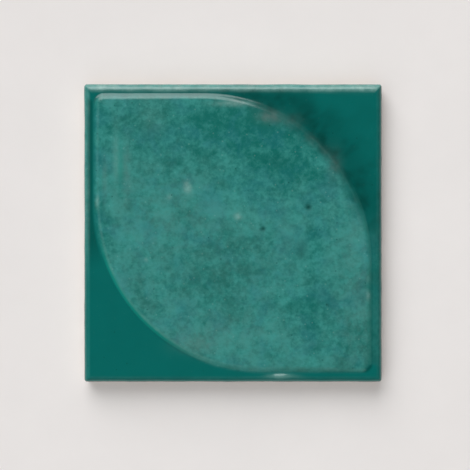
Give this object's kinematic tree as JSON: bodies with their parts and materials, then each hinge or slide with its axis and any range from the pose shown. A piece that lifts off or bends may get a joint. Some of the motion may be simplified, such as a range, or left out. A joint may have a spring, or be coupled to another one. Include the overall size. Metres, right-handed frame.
{
  "type": "zellige effect tile",
  "caption": "Square glazed ceramic wall tile with an uneven, zellige-like face, a raised leaf relief between low corners, a rounded rim and a keyed back.",
  "frame": {"origin": "middle of the back, on the plane of the border and ribs that bed in the adhesive", "axes": "+Z out of the glazed face, +Y up the wall as pictured, +X to the right; the leaf's tips point to -X +Y and +X -Y"},
  "size_m": [0.1, 0.1, 0.0091],
  "materials": {
    "teal_glaze": "gloss"
  },
  "bodies": {
    "root": {"tile": "teal_glaze"}
  },
  "joints": []
}
